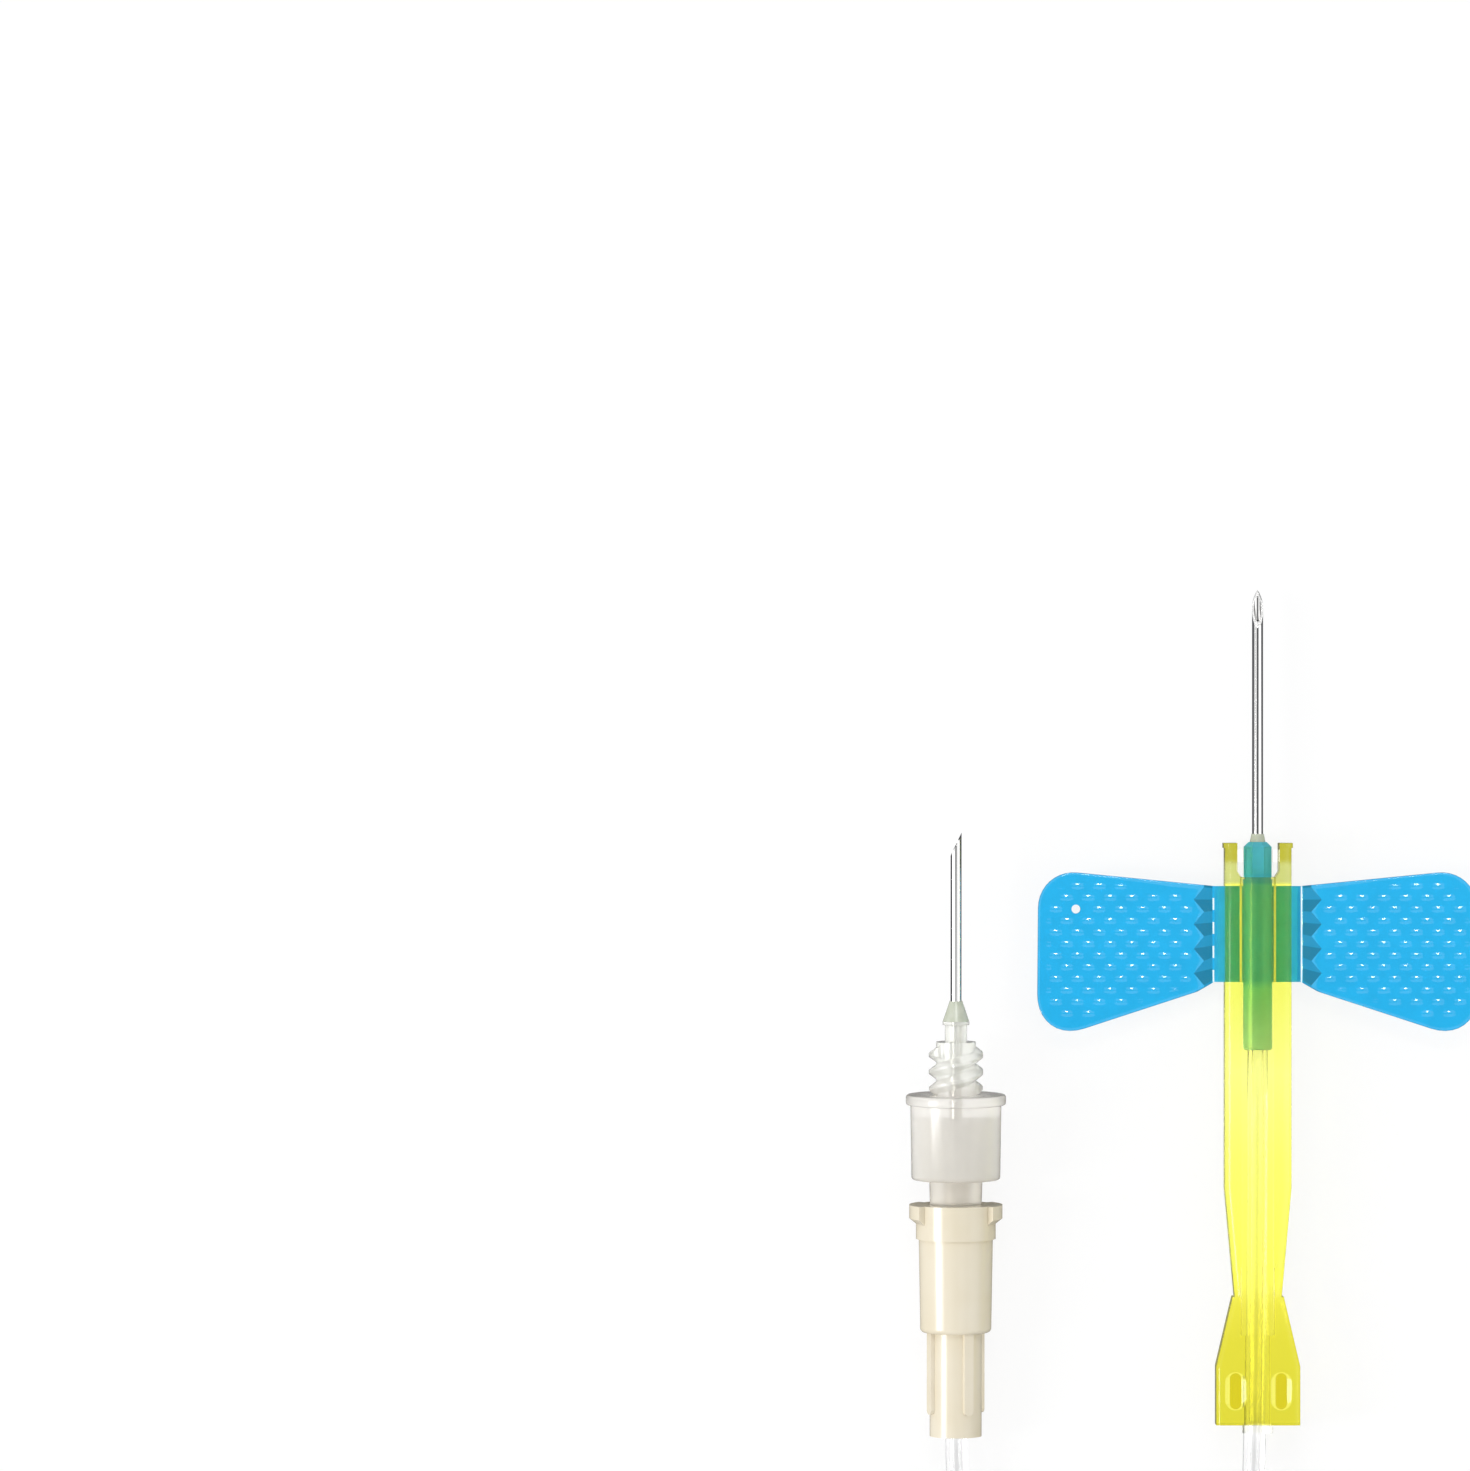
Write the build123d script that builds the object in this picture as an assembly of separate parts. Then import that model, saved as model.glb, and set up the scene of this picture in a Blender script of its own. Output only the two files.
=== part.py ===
from build123d import *
from math import atan2, cos, degrees, pi, radians, sin, tan
import os

# Winged blood collection set, lying flat on a table. All sizes are in millimetres.
# The patient needle points along +Y, the wings spread along X and the shield's flat underside
# is at z = 0. The origin lies under the middle of the needle, wings and shield.

# Cannulas of the patient needle and of the needle for the tube holder
CANNULA_DIAMETER = 0.90
CANNULA_BORE = 0.60
NEEDLE_REACH = 20.75          # shield's front end to needle tip
NEEDLE_SEAT = 7.0             # length of cannula held in the hub
NEEDLE_BEVEL = 16.0           # degrees between the ground face and the axis
LANCET_EXTRA = 9.0            # degrees by which the two lancet faces are steeper
LANCET_ROLL = 38.0
GRIND_REACH = 4.0             # width of the grinding plane, in lengths of the ground face
STOPPER_NEEDLE_REACH = 13.82  # adhesive cone to tip
STOPPER_NEEDLE_SEAT = 9.2     # length of cannula held in the adapter
STOPPER_NEEDLE_BEVEL = 25.0
GLUE_FILM = 0.01              # radial gap of a bonded joint

# Wing hub, a rod with a faceted nose and two webs that carry the wings
HUB_DIAMETER = 2.60
HUB_LENGTH = 17.05
NOSE_FACETS = 8
NOSE_WIDTH = 2.27
NOSE_LENGTH = 3.05
NOSE_CHAMFER = 0.40
NOSE_PROUD = 0.08             # how far the nose stands out of the shield
REAR_CHAMFER = 0.15
GLUE_WELL_DIAMETER = 1.30
GLUE_WELL_DEPTH = 0.80
BEAD_HEIGHT = 0.66
BEAD_TOP_WALL = 0.06
LUMEN_DIAMETER = 0.70
TUBE_SOCKET_DEPTH = 5.0
WEB_SETBACK = 3.53            # shield's front end to the webs' front edge
WEB_LENGTH = 7.87
WEB_THICKNESS = 0.80

# Wings, each hinged on a thin skin under a V groove
HINGE_OFFSET = 3.55           # needle axis to hinge line
HINGE_SKIN = 0.30
GROOVE_INNER = 0.30
GROOVE_OUTER = 1.15
WING_SPAN = 36.20
WING_FRONT_RISE = 1.42        # how far the front edge runs forward towards the tip
WING_REAR_DROP = 5.10         # how far the rear edge runs back towards the tip
WING_TIP_LEAN = 0.12
WING_TIP_RADIUS = 2.95
WING_KNEE_OUT = 1.40          # knee in the rear edge, measured from the root's rear corner
WING_KNEE_BACK = 0.80
WING_KNEE_RADIUS = 1.60
WING_EDGE_RADIUS = 0.18
WING_HOLE_DIAMETER = 0.73
WING_HOLE_IN = 3.20           # wing tip to the small moulded hole
WING_HOLE_SETBACK = 5.42      # shield's front end to the hole

# Sliding safety shield, a bored bar with slotted sides and a flared finger grip
SHIELD_LENGTH = 47.67
SHIELD_WIDTH = 5.46
SHIELD_HEIGHT = 4.80
SHIELD_ROUND = 0.70
NECK_SETBACK = 28.27
NECK_LENGTH = 8.90
NECK_WIDTH = 3.86
FLARE_WIDTH = 4.20
FLARE_LENGTH = 5.70
GRIP_WIDTH = 6.88
GRIP_ROUND = 0.45
SHIELD_TRAVEL = 23.2
HUB_CLEARANCE = 0.12          # radial, hub rod in the shield
WEB_CLEARANCE = 0.15          # above and below each web in its slot
END_CLEARANCE = 0.20          # left at the end of the travel
TUBE_CLEARANCE = 0.10         # radial, tube in the shield
EAR_LENGTH = 1.57             # closed side wall in front of the web slots
NOTCH_WIDTH = 3.44
NOTCH_DEPTH = 2.30
NOTCH_TAPER = 0.50
DETENT_SETBACK = 0.55
DETENT_LENGTH = 1.00
DETENT_HEIGHT = 0.60
DETENT_CLEARANCE = 0.10
FRONT_LIP = 0.11
FRONT_LIP_LENGTH = 0.40
GRIP_POCKET_OFFSET = 1.87
GRIP_POCKET_WIDTH = 0.94
GRIP_POCKET_LENGTH = 2.95
GRIP_POCKET_DEPTH = 0.70
GRIP_POCKET_INSET = 2.80      # pocket's middle to the shield's rear end
POCKET_BRIM_WIDTH = 1.74
POCKET_BRIM_LENGTH = 3.15
POCKET_BRIM_DEPTH = 0.22
REAR_LIP_LENGTH = 0.70
REAR_LIP_WALL = 0.25

# Tubing
TUBE_DIAMETER = 1.80
TUBE_BORE = 0.95
TUBE_LENGTH = 178.0
COIL_DIAMETER = 20.0          # at the middle of its turns
COIL_TURNS = 1.5
COIL_LAYERS = 2
LAYER_PITCH = 1.85
STRAIGHT_SHARE = 0.29         # share of the way to the coil that the tubing runs straight on
SWAY_SHARE = 0.62             # share of the way to the coil where it begins to turn into it
FEED_SWAY = 1.35              # how far it has moved sideways by then
FEED_LIFT = 0.25              # how far it is still above the table there
RETURN_SWAY = 1.10
RETURN_DROP = 0.15
BEND_SHARE = 0.45             # share of the shorter neighbouring run that a bend takes up

# Luer connector on the tubing's far end, sizes along its own axis from its tail
LUER_OFFSET = 24.76           # needle axis to connector axis
LUER_TAIL_SETBACK = 48.62     # shield's front end to the connector's tail
TAIL_DIAMETER = 4.26
TAIL_LENGTH = 8.55
RIB_COUNT = 4
RIB_TURN = 26.0               # degrees from straight up to the first rib
RIB_WIDTH = 0.80
RIB_SPREAD = 4.90             # across opposite ribs
RIB_END_RADIUS = 0.38
RIB_TAIL_GAP = 1.85
BARREL_DIAMETER = 5.82
BARREL_MOUTH_DIAMETER = 6.08
BARREL_LENGTH = 7.70
BARREL_ROUND = 0.35
HEAD_DIAMETER = 6.54
HEAD_LENGTH = 2.80
LUG_SPREAD = 7.65
LUG_LENGTH = 1.56
LUG_ARC = 76.0
LUG_SLOPE = 0.45
SOCKET_MOUTH_DIAMETER = 4.30
SOCKET_DEPTH = 7.6
LUER_TAPER = 0.06             # change of diameter per length
LUER_CLEARANCE = 0.03         # radial, male cone in its socket
LUER_TUBE_SOCKET = 6.0

# Adapter between the connector and a tube holder
CONE_ENGAGEMENT = 5.0
CONE_BARE_LENGTH = 2.06       # between the connector's mouth and the skirt
CONE_BORE = 2.10
SKIRT_DIAMETER = 7.27
SKIRT_TOP_DIAMETER = 7.46
SKIRT_LENGTH = 6.14
SKIRT_WALL = 0.80
SKIRT_ROOF = 1.10
SKIRT_ROUND = 0.22
FLANGE_DIAMETER = 8.20
FLANGE_THICKNESS = 0.83
FLANGE_ROUND = 0.18
STEM_DIAMETER = 3.25          # at the root of the holder thread
STEM_LENGTH = 4.33
SPIGOT_DIAMETER = 1.80
SPIGOT_LENGTH = 1.40
RIM_DIAMETER = 2.20
RIM_LENGTH = 0.32
CONE_BEAD_DIAMETER = 2.15
CONE_BEAD_HEIGHT = 1.64

# Shared places
axis_z = SHIELD_HEIGHT / 2
tip_y = (NEEDLE_REACH + SHIELD_LENGTH + REAR_LIP_LENGTH) / 2
front_y = tip_y - NEEDLE_REACH
cannula_radius = CANNULA_DIAMETER / 2
hub_radius = HUB_DIAMETER / 2
bore_radius = hub_radius + HUB_CLEARANCE
tube_radius = TUBE_DIAMETER / 2
hub_rear = HUB_LENGTH - NOSE_PROUD
web_rear = WEB_SETBACK + WEB_LENGTH
half_web = WEB_THICKNESS / 2
hinge_height = HINGE_SKIN - half_web
slot_height = WEB_THICKNESS + 2 * WEB_CLEARANCE
shield_rear = SHIELD_LENGTH + REAR_LIP_LENGTH

# Heights along the connector's axis
barrel_top = TAIL_LENGTH + BARREL_LENGTH
luer_mouth = barrel_top + HEAD_LENGTH
cone_tip = luer_mouth - CONE_ENGAGEMENT
skirt_base = luer_mouth + CONE_BARE_LENGTH
flange_base = skirt_base + SKIRT_LENGTH
stem_base = flange_base + FLANGE_THICKNESS
stem_top = stem_base + STEM_LENGTH
rim_base = stem_top + SPIGOT_LENGTH
rim_top = rim_base + RIM_LENGTH
bead_top = rim_top + CONE_BEAD_HEIGHT
stopper_tip = bead_top + STOPPER_NEEDLE_REACH

# The connector lies on its flange and on its barrel's rear edge, so its needle end is raised
luer_tilt = degrees(
    atan2((FLANGE_DIAMETER - BARREL_DIAMETER) / 2, flange_base - TAIL_LENGTH)
)
luer_tail_z = BARREL_DIAMETER / 2 * cos(radians(luer_tilt)) - TAIL_LENGTH * sin(radians(luer_tilt))
luer_tail_y = front_y - LUER_TAIL_SETBACK
luer_place = Pos(-LUER_OFFSET, luer_tail_y, luer_tail_z) * Rot(X=luer_tilt - 90)


def station(setback):
    """Cross-section plane of the butterfly, looking back from the given distance behind the front."""
    return Plane((0, front_y - setback, axis_z), x_dir=(1, 0, 0), z_dir=(0, -1, 0))


def rod(diameter, setback, length):
    """Round bar on the needle axis that runs back from the given setback."""
    return extrude(station(setback) * Circle(diameter / 2), length)


def turned(*points):
    """Solid of revolution about Z from (diameter, height) points."""
    profile = Polygon(*[(diameter / 2, height) for diameter, height in points], align=None)
    return revolve(Plane.XZ * profile, Axis.Z)


def ground_away(tip, bevel, roll):
    """Everything on the outer side of a plane ground through a cannula's tip, along +Z."""
    face = Vector(0, -cos(radians(bevel)), sin(radians(bevel))).rotate(Axis.Z, roll)
    size = GRIND_REACH * CANNULA_DIAMETER / sin(radians(bevel))
    return Plane(tip, z_dir=face) * Box(size, size, size, align=(Align.CENTER, Align.CENTER, Align.MIN))


def cannula(length, bevel):
    """Steel tube along +Z with a lancet point whose ground face looks towards -Y."""
    tube = Cylinder(cannula_radius, length, align=(Align.CENTER, Align.CENTER, Align.MIN))
    tube -= Cylinder(CANNULA_BORE / 2, length, align=(Align.CENTER, Align.CENTER, Align.MIN))
    tip = Vector(0, cannula_radius, length)
    tube -= ground_away(tip, bevel, 0)
    for side in (-1, 1):
        tube -= ground_away(tip, bevel + LANCET_EXTRA, side * LANCET_ROLL)
    return tube


def patient_needle():
    """Cannula from its seat in the hub to its tip, ground face up."""
    seat_y = front_y + NOSE_PROUD - NEEDLE_SEAT
    return Pos(0, seat_y, axis_z) * Rot(X=-90) * cannula(tip_y - seat_y, NEEDLE_BEVEL)


def needle_adhesive():
    """Bead that fills the nose's glue well and climbs the cannula."""
    inside = CANNULA_DIAMETER + 2 * GLUE_FILM
    well = GLUE_WELL_DIAMETER - 2 * GLUE_FILM
    bead = turned(
        (inside, GLUE_FILM - GLUE_WELL_DEPTH),
        (well, GLUE_FILM - GLUE_WELL_DEPTH),
        (well, 0),
        (inside + 2 * BEAD_TOP_WALL, BEAD_HEIGHT),
        (inside, BEAD_HEIGHT),
    )
    return Pos(0, front_y + NOSE_PROUD, axis_z) * Rot(X=-90) * bead


def wing_hub():
    """Rod with a faceted nose, two webs up to the hinge lines, and a stepped bore."""
    nose_face = -NOSE_PROUD
    outline = RegularPolygon(NOSE_WIDTH / 2, NOSE_FACETS, major_radius=False, rotation=180 / NOSE_FACETS)
    nose = extrude(station(nose_face) * outline, NOSE_LENGTH)
    nose = chamfer(nose.faces().sort_by(Axis.Y)[-1].edges(), NOSE_CHAMFER)
    shaft = rod(HUB_DIAMETER, nose_face + NOSE_LENGTH, HUB_LENGTH - NOSE_LENGTH)
    shaft = chamfer(shaft.faces().sort_by(Axis.Y)[0].edges(), REAR_CHAMFER)
    web_half = [
        (HINGE_OFFSET, -half_web),
        (HINGE_OFFSET, hinge_height),
        (HINGE_OFFSET - GROOVE_INNER, half_web),
    ]
    web_outline = web_half + [(-x, z) for x, z in reversed(web_half)]
    webs = extrude(station(WEB_SETBACK) * Polygon(*web_outline, align=None), WEB_LENGTH)
    hub = nose + shaft + webs
    hub -= rod(GLUE_WELL_DIAMETER, nose_face, GLUE_WELL_DEPTH)
    hub -= rod(CANNULA_DIAMETER + 2 * GLUE_FILM, nose_face, NEEDLE_SEAT + GLUE_FILM)
    hub -= rod(LUMEN_DIAMETER, nose_face + NEEDLE_SEAT, HUB_LENGTH - NEEDLE_SEAT)
    hub -= rod(TUBE_DIAMETER + 2 * GLUE_FILM, hub_rear - TUBE_SOCKET_DEPTH, TUBE_SOCKET_DEPTH)
    return hub


def right_wing():
    """Flat paddle with rounded tips, thinned by a ramp that runs down to the hinge skin."""
    root_front = front_y - WEB_SETBACK
    root_rear = front_y - web_rear
    tip_x = WING_SPAN / 2
    outline = Polygon(
        (HINGE_OFFSET, root_front),
        (tip_x - WING_TIP_LEAN, root_front + WING_FRONT_RISE),
        (tip_x, root_rear - WING_REAR_DROP),
        (HINGE_OFFSET + WING_KNEE_OUT, root_rear - WING_KNEE_BACK),
        (HINGE_OFFSET, root_rear),
        align=None,
    )
    by_reach = outline.vertices().sort_by(Axis.X)
    outline = fillet(by_reach[-2:], WING_TIP_RADIUS)
    knee = outline.vertices().sort_by_distance((HINGE_OFFSET + WING_KNEE_OUT, root_rear - WING_KNEE_BACK))
    outline = fillet(knee[0], WING_KNEE_RADIUS)
    plate = extrude(Pos(0, 0, axis_z - half_web) * outline, WEB_THICKNESS, dir=(0, 0, 1))
    level_edges = plate.edges() - plate.edges().filter_by(Axis.Z)
    rims = [edge for edge in level_edges if edge.center().X > HINGE_OFFSET + GROOVE_OUTER]
    plate = fillet(rims, WING_EDGE_RADIUS)
    groove = Polygon(
        (HINGE_OFFSET, hinge_height),
        (HINGE_OFFSET + GROOVE_OUTER, half_web),
        (HINGE_OFFSET + GROOVE_OUTER, WEB_THICKNESS),
        (HINGE_OFFSET - GROOVE_OUTER, WEB_THICKNESS),
        (HINGE_OFFSET - GROOVE_OUTER, hinge_height),
        align=None,
    )
    return plate - extrude(station(0) * groove, SHIELD_LENGTH)


def left_wing():
    """Mirror image of the right wing with a small moulded hole near its front corner."""
    hole = Cylinder(WING_HOLE_DIAMETER / 2, 2 * WEB_THICKNESS)
    hole_place = Pos(WING_HOLE_IN - WING_SPAN / 2, front_y - WING_HOLE_SETBACK, axis_z)
    return mirror(right_wing(), about=Plane.YZ) - hole_place * hole


def safety_shield():
    """Bar that slides on the hub rod, slotted for the webs, with a necked and flared grip."""
    neck_rear = NECK_SETBACK + NECK_LENGTH
    flare_rear = neck_rear + FLARE_LENGTH

    def section(setback, width, round_over):
        return station(setback) * RectangleRounded(width, SHIELD_HEIGHT, round_over)

    body = extrude(section(0, SHIELD_WIDTH, SHIELD_ROUND), NECK_SETBACK)
    body += loft([section(NECK_SETBACK, SHIELD_WIDTH, SHIELD_ROUND),
                  section(neck_rear, NECK_WIDTH, SHIELD_ROUND)])
    body += loft([section(neck_rear, FLARE_WIDTH, GRIP_ROUND), section(flare_rear, GRIP_WIDTH, GRIP_ROUND)])
    body += extrude(section(flare_rear, GRIP_WIDTH, GRIP_ROUND), SHIELD_LENGTH - flare_rear)
    body += extrude(section(0, SHIELD_WIDTH + 2 * FRONT_LIP, SHIELD_ROUND), FRONT_LIP_LENGTH)
    tube_bore = TUBE_DIAMETER + 2 * TUBE_CLEARANCE
    body += rod(tube_bore + 2 * REAR_LIP_WALL, SHIELD_LENGTH, REAR_LIP_LENGTH)

    # Bore for the hub rod, and a narrower one for the tubing behind it
    bore_rear = hub_rear + SHIELD_TRAVEL + END_CLEARANCE
    body -= rod(2 * bore_radius, 0, bore_rear)
    body -= rod(tube_bore, bore_rear, shield_rear - bore_rear)

    # Slots for the webs in both side walls, behind the front ears
    slot_length = web_rear + SHIELD_TRAVEL + END_CLEARANCE - EAR_LENGTH
    slot = extrude(station(EAR_LENGTH) * Rectangle(2 * SHIELD_WIDTH, slot_height), slot_length)
    body -= slot

    # Notch between the ears, with a pair of detents beside the hub's nose
    notch_half = [
        (NOTCH_WIDTH / 2, front_y),
        (NOTCH_WIDTH / 2, front_y - NOTCH_DEPTH),
        (bore_radius, front_y - NOTCH_DEPTH - NOTCH_TAPER),
    ]
    notch = Polygon(*notch_half, *[(-x, y) for x, y in reversed(notch_half)], align=None)
    body -= extrude(notch, SHIELD_HEIGHT, dir=(0, 0, 1))
    detent_reach = NOTCH_WIDTH / 2 - NOSE_WIDTH / 2 - DETENT_CLEARANCE
    for side in (-1, 1):
        face = Pos(side * (NOTCH_WIDTH - detent_reach) / 2, 0) * Rectangle(detent_reach, DETENT_HEIGHT)
        body += extrude(station(DETENT_SETBACK) * face, DETENT_LENGTH)

    # Finger pockets in the top of the grip, each with a sloped brim
    pocket_y = front_y - SHIELD_LENGTH + GRIP_POCKET_INSET
    floor = SlotOverall(GRIP_POCKET_LENGTH, GRIP_POCKET_WIDTH, rotation=90)
    brim = SlotOverall(POCKET_BRIM_LENGTH, POCKET_BRIM_WIDTH, rotation=90)
    pocket = extrude(Pos(0, 0, -GRIP_POCKET_DEPTH) * floor, GRIP_POCKET_DEPTH)
    pocket += loft([Pos(0, 0, -POCKET_BRIM_DEPTH) * floor, brim])
    for side in (-1, 1):
        body -= Pos(side * GRIP_POCKET_OFFSET, pocket_y, SHIELD_HEIGHT) * pocket
    return body


def female_luer():
    """Moulded connector: ribbed tail, tapered barrel, and a mouth with two locking lugs."""
    tail = turned((0, 0), (TAIL_DIAMETER, 0), (TAIL_DIAMETER, TAIL_LENGTH), (0, TAIL_LENGTH))
    barrel = turned((0, TAIL_LENGTH), (BARREL_DIAMETER, TAIL_LENGTH),
                    (BARREL_MOUTH_DIAMETER, barrel_top), (0, barrel_top))
    barrel = fillet(barrel.edges().filter_by(GeomType.CIRCLE).sort_by(Axis.Z)[0], BARREL_ROUND)
    head = turned((0, barrel_top), (HEAD_DIAMETER, barrel_top), (HEAD_DIAMETER, luer_mouth), (0, luer_mouth))
    luer = tail + barrel + head
    rib_radius = RIB_SPREAD / 2
    rib = Pos(rib_radius / 2, 0, RIB_TAIL_GAP) * Box(
        rib_radius, RIB_WIDTH, TAIL_LENGTH - RIB_TAIL_GAP + BARREL_ROUND,
        align=(Align.CENTER, Align.CENTER, Align.MIN),
    )
    rib = fillet(rib.edges().filter_by(Axis.X).sort_by(Axis.Z)[:2], RIB_END_RADIUS)
    for number in range(RIB_COUNT):
        luer += Rot(Z=RIB_TURN - 90 + number * 360 / RIB_COUNT) * rib
    lug_profile = Polygon(
        (0, luer_mouth - LUG_LENGTH),
        (HEAD_DIAMETER / 2, luer_mouth - LUG_LENGTH),
        (LUG_SPREAD / 2, luer_mouth - LUG_LENGTH + LUG_SLOPE),
        (LUG_SPREAD / 2, luer_mouth),
        (0, luer_mouth),
        align=None,
    )
    lug = revolve(Plane.XZ * lug_profile, Axis.Z, LUG_ARC)
    for side in (0, 180):
        luer += Rot(Z=side - LUG_ARC / 2) * lug
    socket_floor = luer_mouth - SOCKET_DEPTH
    luer -= turned((0, socket_floor), (SOCKET_MOUTH_DIAMETER - LUER_TAPER * SOCKET_DEPTH, socket_floor),
                   (SOCKET_MOUTH_DIAMETER, luer_mouth), (0, luer_mouth))
    luer -= Cylinder(tube_radius + GLUE_FILM, 2 * LUER_TUBE_SOCKET)
    luer -= Cylinder(LUMEN_DIAMETER / 2, 2 * luer_mouth)
    return luer_place * luer


def luer_adapter():
    """Clear moulding: male cone in a hollow skirt, flange, and a stem with a needle spigot."""
    cone_diameter = SOCKET_MOUTH_DIAMETER - 2 * LUER_CLEARANCE - LUER_TAPER * CONE_ENGAGEMENT
    roof = flange_base - SKIRT_ROOF
    cone_root = cone_diameter + LUER_TAPER * (roof - cone_tip)
    skirt = turned((0, skirt_base), (SKIRT_DIAMETER, skirt_base), (SKIRT_TOP_DIAMETER, flange_base),
                   (0, flange_base))
    skirt = fillet(skirt.edges().filter_by(GeomType.CIRCLE).sort_by(Axis.Z)[0], SKIRT_ROUND)
    skirt -= turned((0, skirt_base), (SKIRT_DIAMETER - 2 * SKIRT_WALL, skirt_base),
                    (SKIRT_TOP_DIAMETER - 2 * SKIRT_WALL, roof), (0, roof))
    cone = turned((0, cone_tip), (cone_diameter, cone_tip), (cone_root, roof), (0, roof))
    flange = turned((0, flange_base), (FLANGE_DIAMETER, flange_base), (FLANGE_DIAMETER, stem_base),
                    (0, stem_base))
    flange = fillet(flange.edges().filter_by(GeomType.CIRCLE), FLANGE_ROUND)
    stem = turned((0, stem_base), (STEM_DIAMETER, stem_base), (STEM_DIAMETER, stem_top),
                  (SPIGOT_DIAMETER, stem_top), (SPIGOT_DIAMETER, rim_base), (RIM_DIAMETER, rim_base),
                  (RIM_DIAMETER, rim_top), (0, rim_top))
    adapter = skirt + cone + flange + stem
    seat_floor = rim_top - STOPPER_NEEDLE_SEAT
    adapter -= turned((0, cone_tip), (CONE_BORE, cone_tip), (CONE_BORE, roof), (CANNULA_BORE, seat_floor),
                      (0, seat_floor))
    seat = Cylinder(cannula_radius + GLUE_FILM, STOPPER_NEEDLE_SEAT,
                    align=(Align.CENTER, Align.CENTER, Align.MIN))
    adapter -= Pos(0, 0, seat_floor) * seat
    return luer_place * adapter


def stopper_needle():
    """Cannula that goes through a tube's stopper, ground face towards the left."""
    seat_floor = rim_top - STOPPER_NEEDLE_SEAT
    needle = cannula(stopper_tip - seat_floor - GLUE_FILM, STOPPER_NEEDLE_BEVEL)
    return luer_place * Pos(0, 0, seat_floor + GLUE_FILM) * Rot(Z=-90) * needle


def stopper_needle_adhesive():
    """Cone of adhesive between the adapter's rim and the cannula."""
    inside = CANNULA_DIAMETER + 2 * GLUE_FILM
    cone = turned((inside, rim_top), (CONE_BEAD_DIAMETER, rim_top),
                  (inside + 2 * BEAD_TOP_WALL, bead_top), (inside, bead_top))
    return luer_place * cone


# Route of the tubing. The coil lies behind the set and takes up what the two leads don't need
coil_radius = COIL_DIAMETER / 2
coil_x = -LUER_OFFSET / 2
coil_arc = pi * COIL_DIAMETER * COIL_TURNS
tube_start_y = front_y - hub_rear + TUBE_SOCKET_DEPTH
leads = TUBE_LENGTH - coil_arc - LUER_TUBE_SOCKET
coil_y = (tube_start_y + luer_tail_y - leads) / 2
top_layer_z = tube_radius + LAYER_PITCH * (COIL_LAYERS - 1)


def on_luer_axis(height):
    """Point on the connector's axis at a height above its tail, negative on the tubing's side."""
    rise = radians(luer_tilt)
    return (-LUER_OFFSET, luer_tail_y + height * cos(rise), luer_tail_z + height * sin(rise))


shield_end_y = front_y - shield_rear
feed_way = shield_end_y - coil_y
return_way = luer_tail_y - coil_y
feed_route = [
    (0, tube_start_y - GLUE_FILM, axis_z),
    (0, shield_end_y - STRAIGHT_SHARE * feed_way, axis_z),
    (-FEED_SWAY, shield_end_y - SWAY_SHARE * feed_way, tube_radius + FEED_LIFT),
    (coil_x + coil_radius, coil_y, tube_radius),
]
return_route = [
    (coil_x - coil_radius, coil_y, top_layer_z),
    (RETURN_SWAY - LUER_OFFSET, luer_tail_y - SWAY_SHARE * return_way, top_layer_z - RETURN_DROP),
    on_luer_axis(-STRAIGHT_SHARE * return_way),
    on_luer_axis(LUER_TUBE_SOCKET - GLUE_FILM),
]


def bend_radii(route):
    """Largest tangent arc at each inner point of a route."""
    radii = []
    for before, here, after in zip(route, route[1:], route[2:]):
        arriving = Vector(*here) - Vector(*before)
        leaving = Vector(*after) - Vector(*here)
        shorter = min(arriving.length, leaving.length)
        radii.append(BEND_SHARE * shorter / tan(radians(arriving.get_angle(leaving)) / 2))
    return radii


def tube_along(route):
    """Hollow tubing along straight runs joined by tangent arcs, with its centreline."""
    path = FilletPolyline(*route, radius=bend_radii(route))
    start = Plane(path @ 0, z_dir=path % 0)
    wall = sweep(start * Circle(tube_radius), path=path) - sweep(start * Circle(TUBE_BORE / 2), path=path)
    return wall, path


def tubing_coil():
    """Outer form of the coiled turns."""
    height = 2 * tube_radius + LAYER_PITCH * (COIL_LAYERS - 1)
    turns = Pos(coil_radius, height / 2) * SlotOverall(height, TUBE_DIAMETER, rotation=90)
    return Pos(coil_x, coil_y, 0) * revolve(Plane.XZ * turns, Axis.Z)


tubing_feed, feed_path = tube_along(feed_route)
tubing_return, return_path = tube_along(return_route)

parts = {
    "patient_needle": patient_needle(),
    "needle_adhesive": needle_adhesive(),
    "wing_hub": wing_hub(),
    "left_wing": left_wing(),
    "right_wing": right_wing(),
    "safety_shield": safety_shield(),
    "tubing_feed": tubing_feed,
    "tubing_coil": tubing_coil(),
    "tubing_return": tubing_return,
    "female_luer": female_luer(),
    "luer_adapter": luer_adapter(),
    "stopper_needle": stopper_needle(),
    "stopper_needle_adhesive": stopper_needle_adhesive(),
}

os.makedirs("parts", exist_ok=True)
for name, solid in parts.items():
    export_step(solid, f"parts/{name}.step")

for name, route, path in (
    ("tubing_feed", feed_route, feed_path),
    ("tubing_return", return_route, return_path),
):
    wall = pi * (tube_radius**2 - TUBE_BORE**2 / 4) * path.length
    print(name, "radii", [round(r, 1) for r in bend_radii(route)], "length", round(path.length, 2),
          "volume", round(parts[name].volume, 3), "section times length", round(wall, 3))
print("tubing length", round(feed_path.length + coil_arc + return_path.length, 2))
print("connector tilt", round(luer_tilt, 3), "tail height", round(luer_tail_z, 3), "front", round(front_y, 3))
print("coil centre", round(coil_x, 3), round(coil_y, 3))
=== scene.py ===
# %% [markdown]
# # A winged blood collection set
#
# The set lies flat on a white table and is seen from straight above. A steel needle sits in a blue
# hub with two folding wings, a yellow shield slides over it, and clear tubing leads to an ivory
# luer connector with a second needle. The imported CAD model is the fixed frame: every piece here
# goes where that frame says, in metres.

from math import atan2, cos, pi, radians, sin, tan

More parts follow.
